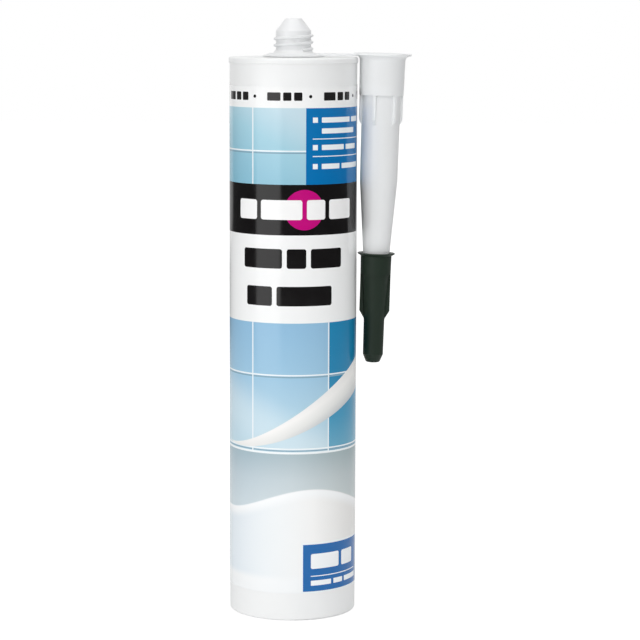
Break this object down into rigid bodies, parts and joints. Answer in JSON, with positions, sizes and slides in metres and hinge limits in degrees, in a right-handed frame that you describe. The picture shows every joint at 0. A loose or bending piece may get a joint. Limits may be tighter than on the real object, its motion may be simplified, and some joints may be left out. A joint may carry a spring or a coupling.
{
  "type": "caulk tube",
  "caption": "Sealant cartridge with a threaded neck, a sliding rear piston and a capped nozzle that hangs beside it from a strap round the neck.",
  "frame": {"origin": "on the barrel's axis at its open rear end, the foot that it stands on", "axes": "+Z along the barrel from the foot to the threaded neck; the nozzle hangs on the +X side; the picture looks along +Y"},
  "size_m": [0.0716, 0.0508, 0.235],
  "materials": {
    "barrel_plastic": "white high-density polyethylene, semi-gloss as moulded",
    "printed_film": "glossy printed plastic film in white, blues and black",
    "piston_plastic": "natural white low-density polyethylene, satin",
    "sealant_paste": "white silicone paste, smooth and slightly shiny",
    "nozzle_plastic": "natural white polyethylene, slightly translucent, satin",
    "cap_plastic": "near-black green polyethylene, semi-gloss"
  },
  "bodies": {
    "barrel": {"barrel": "barrel_plastic", "label": "printed_film", "sealant": "sealant_paste"},
    "piston": {"piston": "piston_plastic"},
    "nozzle": {"nozzle": "nozzle_plastic"},
    "nozzle_cap": {"nozzle_cap": "cap_plastic"}
  },
  "joints": [
    {"name": "nozzle_swivel", "type": "hinge", "parent": "barrel", "child": "nozzle", "pos_m": [0, 0, 0.2202], "axis": [0, 0, 1], "continuous": true},
    {"name": "cap_pull", "type": "slide", "parent": "nozzle", "child": "nozzle_cap", "axis": [0, 0, -1], "range_m": [0, 0.041]},
    {"name": "piston_slide", "type": "slide", "parent": "barrel", "child": "piston", "axis": [0, 0, 1], "range_m": [0, 0.1832], "deforming": ["sealant"]}
  ]
}
